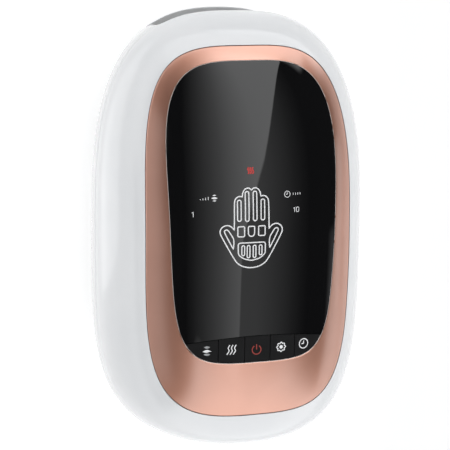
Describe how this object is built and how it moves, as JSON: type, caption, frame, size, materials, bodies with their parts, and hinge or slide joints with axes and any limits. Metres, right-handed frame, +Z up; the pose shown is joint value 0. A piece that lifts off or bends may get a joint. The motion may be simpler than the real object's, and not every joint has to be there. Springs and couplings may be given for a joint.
{
  "type": "hand massager",
  "caption": "Table-top air-compression hand massager: a white pillow-shaped case with a metal trim, a black display, push keys and a padded tunnel that takes a whole hand.",
  "frame": {"origin": "middle of the body on the surface that the feet stand on (bottom centre of the box round it)", "axes": "+Z up, out of the display; +Y towards the fingertips, the low end with the narrow mouth; -Y is the wrist mouth; X across the hand, with the charging socket on +X"},
  "size_m": [0.1436, 0.2242, 0.0989],
  "materials": {
    "shell_plastic": "glossy moulded white",
    "trim_metal": "satin rose gold",
    "display_glass": "black back-printed, polished",
    "key_plastic": "satin black with printed marks",
    "mat_rubber": "grey silicone",
    "circuit_board": "green solder mask",
    "guide_plastic": "moulded white",
    "screw_steel": "zinc plated",
    "foot_rubber": "dark grey",
    "rim_plastic": "moulded light grey",
    "liner_fabric": "grey knitted lining",
    "tray_plastic": "moulded black",
    "heater_film": "amber film",
    "airbag_rubber": "soft film, dark grey",
    "cell_wrap": "wrapped cells",
    "motor_steel": "plated",
    "socket_steel": "stamped"
  },
  "bodies": {
    "housing": {"upper_shell": "shell_plastic", "lower_shell": "shell_plastic", "trim_bezel": "trim_metal", "display_glass": "display_glass", "key_mat": "mat_rubber", "display_board": "circuit_board", "light_guide": "guide_plastic", "board_screws": "screw_steel", "case_screws": "screw_steel", "rubber_feet": "foot_rubber", "wrist_rim": "rim_plastic", "finger_rim": "rim_plastic", "upper_liner": "liner_fabric", "lower_liner": "liner_fabric", "tunnel_roof": "tray_plastic", "tunnel_floor": "tray_plastic", "heating_pad": "heater_film", "upper_palm_airbag": "airbag_rubber", "upper_finger_airbag": "airbag_rubber", "lower_palm_airbag": "airbag_rubber", "lower_finger_airbag": "airbag_rubber", "battery_cells": "cell_wrap", "battery_holder": "tray_plastic", "pump_head": "tray_plastic", "pump_motor": "motor_steel", "pump_cradle": "mat_rubber", "air_manifold": "guide_plastic", "release_valves": "motor_steel", "supply_hose": "mat_rubber", "main_board": "circuit_board", "display_cable": "guide_plastic", "charging_socket": "socket_steel"},
    "massage_key_body": {"massage_key": "key_plastic"},
    "heat_key_body": {"heat_key": "key_plastic"},
    "power_key_body": {"power_key": "key_plastic"},
    "mode_key_body": {"mode_key": "key_plastic"},
    "timer_key_body": {"timer_key": "key_plastic"}
  },
  "joints": [
    {"name": "massage_press", "type": "slide", "parent": "housing", "child": "massage_key_body", "axis": [0, 0, -1], "range_m": [0, 0.0008], "stiffness_N_per_m": 1200, "springref_m": -0.0002},
    {"name": "heat_press", "type": "slide", "parent": "housing", "child": "heat_key_body", "axis": [0, 0, -1], "range_m": [0, 0.0008], "stiffness_N_per_m": 1200, "springref_m": -0.0002},
    {"name": "power_press", "type": "slide", "parent": "housing", "child": "power_key_body", "axis": [0, 0, -1], "range_m": [0, 0.0008], "stiffness_N_per_m": 1200, "springref_m": -0.0002},
    {"name": "mode_press", "type": "slide", "parent": "housing", "child": "mode_key_body", "axis": [0, 0, -1], "range_m": [0, 0.0008], "stiffness_N_per_m": 1200, "springref_m": -0.0002},
    {"name": "timer_press", "type": "slide", "parent": "housing", "child": "timer_key_body", "axis": [0, 0, -1], "range_m": [0, 0.0008], "stiffness_N_per_m": 1200, "springref_m": -0.0002}
  ]
}
